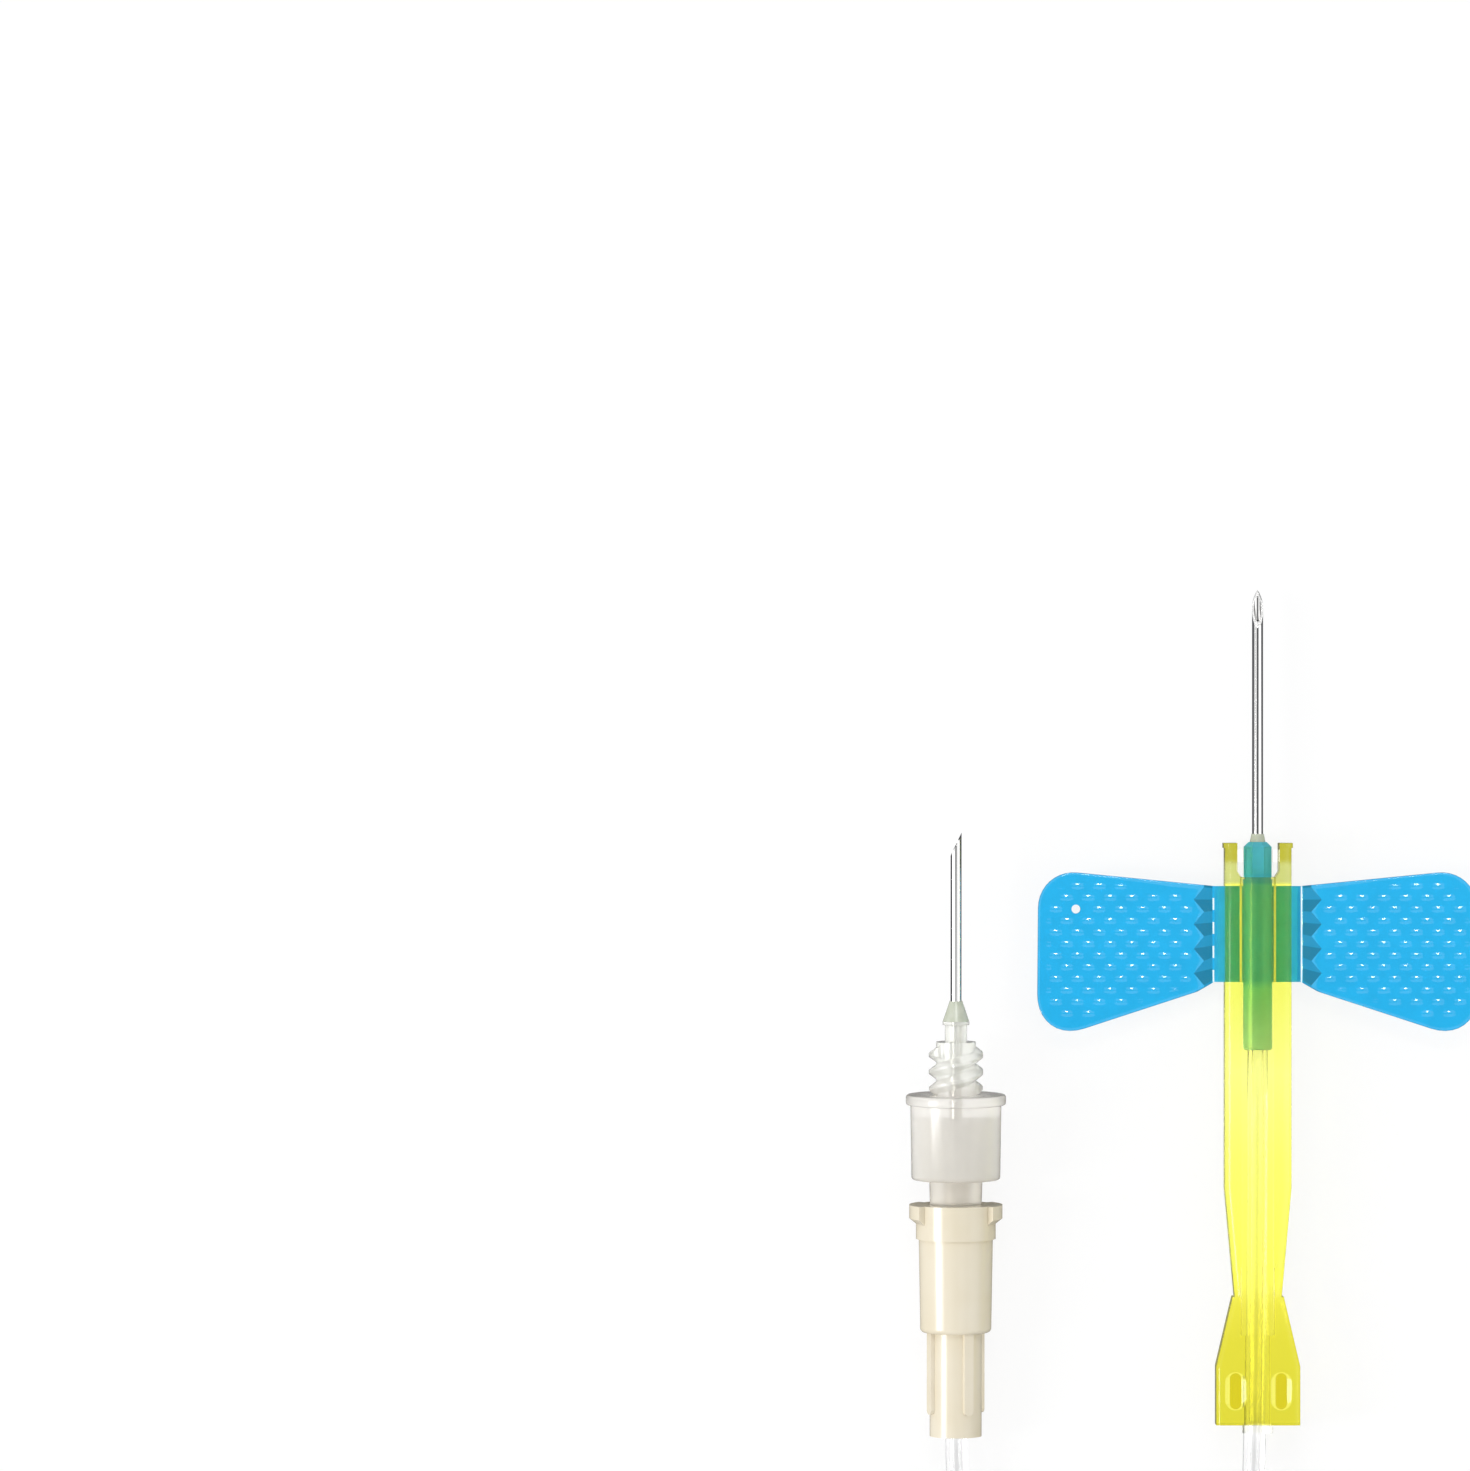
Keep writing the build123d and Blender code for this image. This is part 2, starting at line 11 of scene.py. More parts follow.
import bmesh
import bpy
from mathutils import Matrix, Vector


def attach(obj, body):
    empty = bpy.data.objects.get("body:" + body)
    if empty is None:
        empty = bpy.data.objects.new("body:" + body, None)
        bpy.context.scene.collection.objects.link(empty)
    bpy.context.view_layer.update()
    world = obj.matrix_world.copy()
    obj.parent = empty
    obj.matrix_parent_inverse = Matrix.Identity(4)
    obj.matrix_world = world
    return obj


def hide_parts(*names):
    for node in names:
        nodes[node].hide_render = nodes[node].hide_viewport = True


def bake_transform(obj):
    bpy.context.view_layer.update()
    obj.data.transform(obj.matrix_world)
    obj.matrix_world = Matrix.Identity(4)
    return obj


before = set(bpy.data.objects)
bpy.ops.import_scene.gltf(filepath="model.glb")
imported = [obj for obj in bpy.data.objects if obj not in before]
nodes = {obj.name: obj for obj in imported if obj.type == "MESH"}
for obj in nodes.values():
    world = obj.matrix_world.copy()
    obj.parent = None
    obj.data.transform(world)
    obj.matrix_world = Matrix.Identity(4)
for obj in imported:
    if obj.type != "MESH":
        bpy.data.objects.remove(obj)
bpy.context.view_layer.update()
MM = 0.001
AXIS_HEIGHT = 2.4 * MM           # of the needle above the table

# %% [markdown]
# ## Camera
#
# The camera looks straight down with the needle pointing up in the picture. A long lens keeps the
# view almost parallel, as in a copy-stand shot, so that tall pieces hardly lean outwards. The frame
# is set by the width of table that it shows, and the set sits in its lower right part.

# %% Camera above the table
VIEW_WIDTH = 120.54 * MM         # at the height of the needle's axis
VIEW_CENTRE = (-42.85 * MM, 22.62 * MM)
SENSOR_WIDTH, LENS = 36.0, 400.0  # millimetres, as Blender wants them
camera_data = bpy.data.cameras.new("overhead_camera")
camera_data.sensor_fit = "HORIZONTAL"
camera_data.sensor_width = SENSOR_WIDTH
camera_data.lens = LENS
camera = bpy.data.objects.new("overhead_camera", camera_data)
camera.location = (*VIEW_CENTRE, AXIS_HEIGHT + VIEW_WIDTH / SENSOR_WIDTH * LENS)
bpy.context.scene.collection.objects.link(camera)
bpy.context.scene.camera = camera
bpy.context.scene.view_settings.view_transform = "Standard"
print("camera height", round(camera.location.z, 3))

# %% [markdown]
# ## Small helpers
#
# Colours are written as sRGB hex, the way a picture shows them, and Blender wants linear light, so
# one function converts them. Another adds a shader node, sets its values and plugs in its links,
# which keeps each finish readable as a short list. The last two start an empty material and set the
# colours of a ramp.

# %% Colour and node helpers
def linear(code):
    """Linear RGBA of an sRGB hex colour."""
    shares = [int(code[i:i + 2], 16) / 255 for i in (1, 3, 5)]
    return [s / 12.92 if s <= 0.04045 else ((s + 0.055) / 1.055) ** 2.4 for s in shares] + [1.0]


def add(tree, kind, settings=None, links=None):
    """New node of this kind, with values for its sockets or properties and links to its sockets."""
    node = tree.nodes.new(kind)
    for key, value in (settings or {}).items():
        if isinstance(key, int) or key in node.inputs:
            node.inputs[key].default_value = value
        else:
            setattr(node, key, value)
    for key, source in (links or {}).items():
        tree.links.new(source, node.inputs[key])
    return node


def new_finish(name):
    """Empty node material, with its tree."""
    finish = bpy.data.materials.new(name)
    finish.use_nodes = True
    finish.node_tree.nodes.clear()
    return finish, finish.node_tree


def stops(ramp, *pairs):
    """Set a colour ramp's stops from (position, hex colour) pairs."""
    elements = ramp.color_ramp.elements
    while len(elements) < len(pairs):
        elements.new(1.0)
    for element, (position, code) in zip(elements, pairs):
        element.position = position
        element.color = linear(code)


# %% [markdown]
# ## Table and light
#
# The table is plain white. Its own shading keeps a faint soft shadow, and most of what the camera
# and the clear plastics see of it is an even white, so that the background is white without more
# lamps. Mirror reflections see it as dim, which draws the dark lines along the edges of polished
# steel, and a small dark patch straight overhead, where a camera would hang, draws the one along
# its middle. A long soft box on the left makes the upright gloss on the round mouldings, a wide dim
# one on the right fills their shaded side, and a narrow one in front gives the wings' texture its
# small glints.

# %% White table
TABLE_REACH = 4.0
TABLE_DROP = 0.02 * MM           # keeps the table just clear of the undersides
table_mesh = bpy.data.meshes.new("white_table")
bm = bmesh.new()
bmesh.ops.create_grid(bm, x_segments=1, y_segments=1, size=TABLE_REACH)
bmesh.ops.translate(bm, verts=bm.verts, vec=(0, 0, -TABLE_DROP))
bm.to_mesh(table_mesh)
bm.free()
table = bpy.data.objects.new("white_table", table_mesh)
bpy.context.scene.collection.objects.link(table)

# %% Paint of the table
EVEN_SHARE = 0.85                # of even white for the camera, and the rest keeps the shadow
EVEN_LEVEL = 1.02
BRIGHT_LEVEL = 1.24              # through plastic, to make up for the light lost at its surfaces
table_paint, tree = new_finish("white_table_paint")
path = add(tree, "ShaderNodeLightPath")
share = add(tree, "ShaderNodeMath", {"operation": "MULTIPLY", 1: EVEN_SHARE},
            {0: path.outputs["Is Camera Ray"]})
even = add(tree, "ShaderNodeEmission", {"Color": linear("#FFFFFF"), "Strength": EVEN_LEVEL})
dim = add(tree, "ShaderNodeEmission", {"Color": linear("#5A5B5E"), "Strength": 1.0})
bright = add(tree, "ShaderNodeEmission", {"Color": linear("#FFFFFF"), "Strength": BRIGHT_LEVEL})
shown = add(tree, "ShaderNodeBsdfDiffuse", {"Color": linear("#F7F7F7")})
for part, paint in ((share.outputs[0], even), (path.outputs["Is Glossy Ray"], dim),
                    (path.outputs["Is Transmission Ray"], bright)):
    shown = add(tree, "ShaderNodeMixShader", None,
                {0: part, 1: shown.outputs[0], 2: paint.outputs[0]})
add(tree, "ShaderNodeOutputMaterial", None, {"Surface": shown.outputs[0]})
table.data.materials.append(table_paint)
print("table", table.name, "painted with", table_paint.name)

# %% World
MATT_LEVEL, GLOSS_EXTRA = 0.84, 0.16   # strength for matt surfaces, and what mirrors see on top
world = bpy.data.worlds.new("studio")
bpy.context.scene.world = world
world.use_nodes = True
tree = world.node_tree
tree.nodes.clear()
direction = add(tree, "ShaderNodeTexCoord")
height = add(tree, "ShaderNodeSeparateXYZ", None, {0: direction.outputs["Generated"]})
sky = add(tree, "ShaderNodeValToRGB", None, {0: height.outputs["Z"]})
stops(sky, (0.0, "#D6D7D9"), (0.3, "#E6E7E7"), (0.7, "#EAEBEB"), (0.962, "#EAEBEB"),
      (0.972, "#3E3F42"))
path = add(tree, "ShaderNodeLightPath")
level = add(tree, "ShaderNodeMath", {"operation": "MULTIPLY_ADD", 1: GLOSS_EXTRA, 2: MATT_LEVEL},
            {0: path.outputs["Is Glossy Ray"]})
lit = add(tree, "ShaderNodeBackground", None,
          {"Color": sky.outputs[0], "Strength": level.outputs[0]})
plain = add(tree, "ShaderNodeBackground", {"Color": linear("#FFFFFF"), "Strength": 1.0})
mixed = add(tree, "ShaderNodeMixShader", None,
            {0: path.outputs["Is Camera Ray"], 1: lit.outputs[0], 2: plain.outputs[0]})
add(tree, "ShaderNodeOutputWorld", None, {"Surface": mixed.outputs[0]})
print("world", world.name)

# %% Soft boxes: azimuth and elevation in degrees, distance, width and length in metres, watts
SOFT_BOXES = (
    ("left_soft_box", 188, 34, 0.9, 0.2, 0.36, 3.3),
    ("right_fill_box", 352, 30, 0.9, 0.5, 0.6, 1.0),
    ("glint_soft_box", 90, 60, 1.0, 0.36, 0.055, 1.33),
)


def soft_box(name, azimuth, elevation, distance, width, length, power):
    """Rectangular lamp aimed at the set, its length along the needle's direction."""
    data = bpy.data.lights.new(name, "AREA")
    data.shape = "RECTANGLE"
    data.size = width
    data.size_y = length
    data.energy = power
    lamp = bpy.data.objects.new(name, data)
    ground = distance * cos(radians(elevation))
    lamp.location = (ground * cos(radians(azimuth)), ground * sin(radians(azimuth)),
                     distance * sin(radians(elevation)))
    lamp.rotation_euler = (-lamp.location).to_track_quat("-Z", "Y").to_euler()
    bpy.context.scene.collection.objects.link(lamp)


for box in SOFT_BOXES:
    soft_box(*box)

# %% [markdown]
# ## Tubing
#
# The clear tubing runs from its socket in the hub, through the shield, into a neat coil of one and
# a half turns behind the set, and back to the connector. One smooth NURBS line carries the whole
# route. The coil's turns are worked out by a loop, and the other points are the route's own
# corners. The line gets a round section, and a wall of even thickness makes it a hollow tube
# instead of a glass rod.

# %% Route of the tubing, in millimetres
COIL_CENTRE = (-12.38, -55.361)
COIL_RADIUS = 10.0
COIL_TURNS = 1.5
POINTS_PER_TURN = 18
LAYER_HEIGHTS = (0.9, 2.75)
CLIMB_FROM, CLIMB_TO = 215.0, 325.0   # degrees, where the coil climbs to its second layer
feed_points = [(0, 1.82, 2.4), (0, -40.592, 2.4), (-1.35, -47.457, 1.15)]
return_points = [(-23.66, -47.552, 2.60), (-24.76, -40.758, 1.982), (-24.76, -28.832, 2.741)]


def ease(share):
    """Smooth step for a share from 0 to 1."""
    return share * share * (3 - 2 * share)


step = 360 / POINTS_PER_TURN
reach = COIL_RADIUS / cos(radians(step / 2))
coil_points = []
for number in range(int(COIL_TURNS * POINTS_PER_TURN)):
    turn = (number + 0.5) * step
    climb = ease(min(max((turn - CLIMB_FROM) / (CLIMB_TO - CLIMB_FROM), 0), 1))
    coil_points.append((
        COIL_CENTRE[0] + reach * cos(radians(turn)),
        COIL_CENTRE[1] - reach * sin(radians(turn)),
        LAYER_HEIGHTS[0] + climb * (LAYER_HEIGHTS[1] - LAYER_HEIGHTS[0]),
    ))
route = feed_points + coil_points + return_points
print("route points", len(route))

# %% Tubing along its route
TUBE_DIAMETER = 1.8 * MM
TUBE_WALL = 0.425 * MM
tube_line = bpy.data.curves.new("clear_tubing", "CURVE")
tube_line.dimensions = "3D"
tube_line.resolution_u = 8
tube_line.bevel_depth = 1.0      # times the radius at each point
tube_line.bevel_resolution = 6
spline = tube_line.splines.new("NURBS")
spline.points.add(len(route) - 1)
for point, (x, y, z) in zip(spline.points, route):
    point.co = (x * MM, y * MM, z * MM, 1.0)
    point.radius = TUBE_DIAMETER / 2
spline.order_u = 3
spline.use_endpoint_u = True
tubing = bpy.data.objects.new("clear_tubing", tube_line)
bpy.context.scene.collection.objects.link(tubing)
wall = tubing.modifiers.new("tube_wall", "SOLIDIFY")
wall.thickness = TUBE_WALL
wall.offset = -1.0
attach(tubing, "hub")
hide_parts("tubing_feed", "tubing_coil", "tubing_return")
print("tubing", tubing.name, "wall", TUBE_WALL)

# %% [markdown]
# ## Steel
#
# The needles are drawn tube. A mirror metal with one even roughness would look like chrome, so fine
# noise, stretched along the needle, makes the gloss vary as drawing lines do.

# %% Stainless steel of the needles
# Drawn and polished stainless steel: mirror bright, with faint lines along the drawing direction,
# which are drawn ten times as coarse as real ones so that they show.
LINE_WIDTH, LINE_LENGTH = 0.12 * MM, 6 * MM
steel, tree = new_finish("drawn_stainless_steel")
place = add(tree, "ShaderNodeTexCoord")
along = add(tree, "ShaderNodeMapping",
            {"Scale": (1 / LINE_WIDTH, 1 / LINE_LENGTH, 1 / LINE_WIDTH)},
            {"Vector": place.outputs["Object"]})
lines = add(tree, "ShaderNodeTexNoise", {"Scale": 1.0, "Detail": 2.0},
            {"Vector": along.outputs[0]})
gloss = add(tree, "ShaderNodeMapRange", {"To Min": 0.05, "To Max": 0.09},
            {"Value": lines.outputs[0]})
surface = add(tree, "ShaderNodeBsdfPrincipled",
              {"Base Color": linear("#ECEBEA"), "Metallic": 1.0}, {"Roughness": gloss.outputs[0]})
add(tree, "ShaderNodeOutputMaterial", None, {"Surface": surface.outputs[0]})
print("finish", steel.name)

# %% [markdown]
# ## Adhesive
#
# A bead of adhesive holds each needle. It is cloudy instead of clear, so it lets only some light
# through, and a small noise shifts its tone a little.

# %% Adhesive beads
# Cured acrylic adhesive: milky, slightly green, with a soft wet gloss.
CLOUD_SIZE = 0.7 * MM
adhesive, tree = new_finish("cured_acrylic_adhesive")
place = add(tree, "ShaderNodeTexCoord")
cloud = add(tree, "ShaderNodeTexNoise", {"Scale": 1 / CLOUD_SIZE, "Detail": 2.0},
            {"Vector": place.outputs["Object"]})
milk = add(tree, "ShaderNodeValToRGB", None, {0: cloud.outputs[0]})
stops(milk, (0.3, "#D9DFCA"), (0.7, "#E6E9DB"))
surface = add(tree, "ShaderNodeBsdfPrincipled",
              {"Roughness": 0.22, "IOR": 1.48, "Transmission Weight": 0.25},
              {"Base Color": milk.outputs[0]})
add(tree, "ShaderNodeOutputMaterial", None, {"Surface": surface.outputs[0]})
print("finish", adhesive.name)

# %% [markdown]
# ## See-through plastics
#
# Wings, hub, shield, adapter and tubing are moulded or drawn from plastics that let light through,
# so their colour comes from what passes through the walls. One recipe serves them all: a tone that
# changes along the needle, a faint flow pattern and a gloss. The shield adds a few places of its
# own. Its bore and slots stay clear, because each tinted surface would deepen the yellow. Its
# pockets get painted shade on their floors and a painted highlight on their sloping brims, and the
# long inner corner over the webs gets a painted highlight.

# %% Places on the shield
def inside_box(tree, axes, middle, half_size):
    """Mask that is 1 inside a box and inside its mirror image on the left, and 0 elsewhere."""
    mirrored = add(tree, "ShaderNodeMath", {"operation": "ABSOLUTE"}, {0: axes.outputs["X"]})
    sources = mirrored.outputs[0], axes.outputs["Y"], axes.outputs["Z"]
    within = None
    for centre, half, axis in zip(middle, half_size, sources):
        near = add(tree, "ShaderNodeMath", {"operation": "COMPARE", 1: centre, 2: half},
                   {0: axis}).outputs[0]
        if within:
            near = add(tree, "ShaderNodeMath", {"operation": "MULTIPLY"},
                       {0: within, 1: near}).outputs[0]
        within = near
    return within


def clear_core(tree, place, axes, tint, core):
    """Keep surfaces near the needle's axis clear. The core is the distance round the axis, for a
    bore, and the one above and below it, for slots."""
    around = add(tree, "ShaderNodeVectorMath",
                 {"operation": "MULTIPLY_ADD", 1: (1, 0, 1), 2: (0, 0, -AXIS_HEIGHT)}, {0: place})
    reach = add(tree, "ShaderNodeVectorMath", {"operation": "LENGTH"}, {0: around.outputs[0]})
    bore = add(tree, "ShaderNodeMath", {"operation": "LESS_THAN", 1: core[0]},
               {0: reach.outputs["Value"]})
    slot = add(tree, "ShaderNodeMath", {"operation": "COMPARE", 1: AXIS_HEIGHT, 2: core[1]},
               {0: axes.outputs["Z"]})
    inside = add(tree, "ShaderNodeMath", {"operation": "MAXIMUM"},
                 {0: bore.outputs[0], 1: slot.outputs[0]})
    return add(tree, "ShaderNodeMix", {"data_type": "RGBA", 7: linear("#FFFFFF")},
               {0: inside.outputs[0], 6: tint}).outputs[2]


def pocket_painted_light(tree, axes, tint, pockets):
    """Paint shade on the floors of two hollows in the top and a highlight on their sloping
    brims. The pockets are the middle and half the size of a box round the right one, the colour
    of the painted shade on its floor and the colour of the painted highlight on its brim."""
    middle, half_size, painted_floor_shade, painted_brim_highlight = pockets
    inside = inside_box(tree, axes, middle, half_size)
    depth = add(tree, "ShaderNodeMapRange",
                {"From Min": middle[2] - half_size[2], "From Max": middle[2] + half_size[2]},
                {"Value": axes.outputs["Z"]})
    shade = add(tree, "ShaderNodeValToRGB", None, {0: depth.outputs[0]})
    stops(shade, (0.3, painted_floor_shade), (0.5, painted_brim_highlight))
    return add(tree, "ShaderNodeMix", {"data_type": "RGBA"},
               {0: inside, 6: tint, 7: shade.outputs[0]}).outputs[2]


# %% Recipe for a see-through plastic
MATT_EXTRA = 0.4                 # roughness that a matt skin adds


def tinted_plastic(name, tones, streaks, gloss, clear, index, dye=None, coat=(0.0, 0.06), marks=(),
                   matt_mark=None, core=None, pockets=None, corner=None):
    """Moulded see-through plastic. Its tones are pairs of a place along the needle, in millimetres,
    and the colour there. The streaks are the size of a faint flow pattern and its darkest grey, and
    the gloss varies with them. The dye is the colour that the bulk keeps and how strongly it takes
    the rest, per metre. The coat is the weight and roughness of an outer gloss. The marks are pairs
    of a mesh attribute and the colour that it brings in, such as painted shade or a painted
    highlight, and the matt mark is one that makes the surface matt. The corner is the middle and
    half the size of a box round an inner corner with a painted highlight, the colour of that
    highlight and how clear it stays. The core and the pockets are as in the functions above."""
    finish, tree = new_finish(name)
    place = add(tree, "ShaderNodeTexCoord").outputs["Object"]
    axes = add(tree, "ShaderNodeSeparateXYZ", None, {0: place})
    flow = add(tree, "ShaderNodeTexNoise",
               {"Scale": 1 / streaks[0], "Detail": 3.0, "Roughness": 0.55},
               {"Vector": place}).outputs[0]
    streak = add(tree, "ShaderNodeValToRGB", None, {0: flow})
    stops(streak, (0.25, streaks[1]), (0.75, "#FFFFFF"))
    rear, front = tones[0][0], tones[-1][0]
    along = add(tree, "ShaderNodeMapRange", {"From Min": rear * MM, "From Max": front * MM},
                {"Value": axes.outputs["Y"]})
    tone = add(tree, "ShaderNodeValToRGB", None, {0: along.outputs[0]})
    stops(tone, *(((y - rear) / (front - rear), code) for y, code in tones))
    tint = add(tree, "ShaderNodeMix", {"data_type": "RGBA", "blend_type": "MULTIPLY", 0: 1.0},
               {6: tone.outputs[0], 7: streak.outputs[0]}).outputs[2]
    shine = add(tree, "ShaderNodeMapRange", {"To Min": gloss[0], "To Max": gloss[1]},
                {"Value": flow}).outputs[0]
    varied = {}                  # sockets whose value changes over the surface
    if core:
        tint = clear_core(tree, place, axes, tint, core)
    # painted shade on the pocket floors and a painted highlight on their brims
    if pockets:
        tint = pocket_painted_light(tree, axes, tint, pockets)
    # painted highlight along the inner corner over the webs, which also lets less light through
    if corner:
        middle, half_size, corner_highlight_code, corner_highlight_clear = corner
        edge = inside_box(tree, axes, middle, half_size)
        tint = add(tree, "ShaderNodeMix", {"data_type": "RGBA", 7: linear(corner_highlight_code)},
                   {0: edge, 6: tint}).outputs[2]
        varied["Transmission Weight"] = add(
            tree, "ShaderNodeMath",
            {"operation": "MULTIPLY_ADD", 1: corner_highlight_clear - clear, 2: clear}, {0: edge}).outputs[0]
    for attribute, code in marks:
        share = add(tree, "ShaderNodeAttribute", {"attribute_name": attribute})
        tint = add(tree, "ShaderNodeMix", {"data_type": "RGBA", 7: linear(code)},
                   {0: share.outputs["Fac"], 6: tint}).outputs[2]
    if matt_mark:
        share = add(tree, "ShaderNodeAttribute", {"attribute_name": matt_mark})
        shine = add(tree, "ShaderNodeMath", {"operation": "MULTIPLY_ADD", 1: MATT_EXTRA},
                    {0: share.outputs["Fac"], 2: shine}).outputs[0]
        varied["Coat Weight"] = add(
            tree, "ShaderNodeMath", {"operation": "MULTIPLY_ADD", 1: -coat[0], 2: coat[0]},
            {0: share.outputs["Fac"]}).outputs[0]
    surface = add(tree, "ShaderNodeBsdfPrincipled",
                  {"IOR": index, "Transmission Weight": clear, "Coat Weight": coat[0],
                   "Coat Roughness": coat[1]},
                  {"Base Color": tint, "Roughness": shine, **varied})
    ends = {"Surface": surface.outputs[0]}
    if dye:
        bulk = add(tree, "ShaderNodeVolumeAbsorption",
                   {"Color": linear(dye[0]), "Density": dye[1]})
        ends["Volume"] = bulk.outputs[0]
    add(tree, "ShaderNodeOutputMaterial", None, ends)
    print("finish", name)
    return finish


# %% Blue vinyl
# Soft blue vinyl of the wings: clear blue, with painted shade on the teeth and a painted
# highlight along the hinge.
blue_vinyl = tinted_plastic(
    "blue_soft_vinyl",
    tones=((-3, "#2AB2E8"), (12, "#2DB5EB")), streaks=(1.6 * MM, "#F4F4F4"),
    gloss=(0.05, 0.08), clear=0.92, index=1.3, coat=(1.0, 0.05), matt_mark="matt_skin",
    # painted shade on the teeth and a painted highlight along the hinge
    marks=(("painted_tooth_shade", "#125C74"), ("painted_hinge_highlight", "#F2FAFF")))
# The hub's vinyl is thick, so it looks milky and hides its bore. It is paler round the tubing.
blue_hub = tinted_plastic(
    "milky_blue_vinyl",
    tones=((-3.2, "#C0F8F6"), (1.8, "#80ECF2"), (2.6, "#3CCAFA"), (10.6, "#3CCAFA"),
           (11.4, "#62DCF0"), (14, "#6AE0F2")),
    streaks=(1.2 * MM, "#F0F0F0"), gloss=(0.3, 0.38), clear=0.35, index=1.28)

# %% Yellow polypropylene
# Yellow polypropylene of the shield: lemon, deeper in the solid grip and at the front of the ears.
yellow_shield = tinted_plastic(
    "yellow_polypropylene",
    tones=((-34.6, "#DAD34C"), (-27, "#E0D950"), (-24.2, "#E8E15A"), (-22.4, "#F6F26C"),
           (-20, "#F8F872"), (-12, "#FBFC84"), (-5, "#FBFC9E"), (1.5, "#F4F67C"),
           (10.4, "#F4F67C"), (10.6, "#D0D494"), (12.0, "#D0D494"), (12.5, "#BEBA50"),
           (14, "#BEBA50")),
    streaks=(6 * MM, "#FBFBFB"), gloss=(0.1, 0.16), clear=0.97, index=1.08,
    dye=("#F3F352", 120), coat=(0.4, 0.06), core=(1.5 * MM, 0.6 * MM),
    # painted shade on the pocket floors and a painted highlight on their brims
    pockets=((1.87 * MM, -31.06 * MM, 4.44 * MM), (0.90 * MM, 1.60 * MM, 0.35 * MM),
             "#CDBB20", "#FBF8A4"),
    # painted highlight along the inner corner over the webs
    corner=((1.40 * MM, 7.20 * MM, 2.95 * MM), (0.09 * MM, 4.80 * MM, 0.08 * MM),
            "#FFFBC8", 0.1))

# %% Hazy and clear plastics
# Clear polypropylene of the adapter: a milky haze in the bulk, a soft gloss, clearer in the stem.
hazy_adapter = tinted_plastic(
    "hazy_polypropylene",
    tones=((-16, "#F9F4EB"), (-13.9, "#F9F4EB"), (-13.5, "#FBF8F2"), (-6.6, "#FFFCF7"),
           (-5.6, "#FFFFFA"), (1, "#FFFFFA")),
    streaks=(3 * MM, "#FAFAFA"), gloss=(0.18, 0.25), clear=0.56, index=1.26, coat=(0.3, 0.12))
# Clear vinyl of the tubing, which greys a little in its free run.
clear_vinyl = tinted_plastic(
    "clear_vinyl_tubing",
    tones=((-66, "#E8E8E8"), (-36, "#E8E8E8"), (-31, "#FEFEFE"), (2, "#FEFEFE")),
    streaks=(3 * MM, "#FFFFFF"), gloss=(0.1, 0.16), clear=1.0, index=1.22, coat=(0.5, 0.08))
tube_line.materials.append(clear_vinyl)

# %% [markdown]
# ## Ivory plastic
#
# The connector is the one opaque moulding, so a plain glossy plastic does, with a broad noise that
# keeps its cream from looking like flat paint.

# %% Ivory connector
# Moulded ABS in ivory: opaque, satin, a little warmer where it is thick.
BLOTCH_SIZE = 4 * MM
ivory, tree = new_finish("ivory_abs")
place = add(tree, "ShaderNodeTexCoord")
cloud = add(tree, "ShaderNodeTexNoise", {"Scale": 1 / BLOTCH_SIZE, "Detail": 2.0},
            {"Vector": place.outputs["Object"]})
tone = add(tree, "ShaderNodeValToRGB", None, {0: cloud.outputs[0]})
stops(tone, (0.25, "#E6DBC2"), (0.75, "#EBE2CE"))
surface = add(tree, "ShaderNodeBsdfPrincipled", {"Roughness": 0.2, "IOR": 1.5},
              {"Base Color": tone.outputs[0]})
add(tree, "ShaderNodeOutputMaterial", None, {"Surface": surface.outputs[0]})
print("finish", ivory.name)

# %% [markdown]
# ## Finishes on the CAD pieces
#
# The pieces that the CAD model already shows well keep its mesh and only get a finish. The others
# get one too, in case they are looked at without the pieces below that replace them.

# %% Dress the CAD pieces
def dress(node, finish):
    """Give a CAD node its finish in every material slot."""
    piece = nodes[node]
    if not piece.material_slots:
        piece.data.materials.append(finish)
    for place in piece.material_slots:
        place.material = finish


for node, finish in (
    ("patient_needle", steel), ("stopper_needle", steel),
    ("needle_adhesive", adhesive), ("stopper_needle_adhesive", adhesive),
    ("wing_hub", blue_hub), ("left_wing", blue_vinyl), ("right_wing", blue_vinyl),
    ("safety_shield", yellow_shield), ("female_luer", ivory), ("luer_adapter", hazy_adapter),
):
    dress(node, finish)
print("finishes", [m.name for m in bpy.data.materials])

# %% [markdown]
# ## Wings
#
# Each wing is a soft blue paddle with a thin moulded hinge at its root. Its top carries rows of
# long low pips for grip, and a row of teeth where the paddle ramps down to the hinge. The outline
# starts as one flat face with rounded corners, is raised to a plate with rounded rims, and its top
# is then replaced: a fine grid shaped into pips sits inside a smooth margin, and the gap between is
# filled. The relief is real geometry, because each pip shows as a glint on the side that faces the
# light.

# %% Wing sizes, in millimetres
HINGE_X = 3.55
HINGE_SKIN = 0.30
PLATE_BOTTOM, PLATE_TOP = 2.0, 2.8
RAMP_X = 4.40                    # inner end of the ramp's teeth
TOOTH_X = 5.25                   # outer end of the ramp's teeth
TEETH = 4
EDGE_RADIUS = 0.18
CORNER_STEPS, RIM_STEPS = 10, 3
WING_CORNERS = (                 # place and radius
    (HINGE_X, 10.28, 0), (17.98, 11.70, 2.95), (18.10, -2.69, 2.95), (4.95, 1.61, 1.60),
    (HINGE_X, 2.41, 0),
)
TINY = 1e-4                      # places nearer than this count as the same


# %% Wing plate
def hinge_edges(bm):
    """Open edges along the hinge."""
    return [e for e in bm.edges
            if e.is_boundary and all(abs(v.co.x - HINGE_X) < TINY for v in e.verts)]


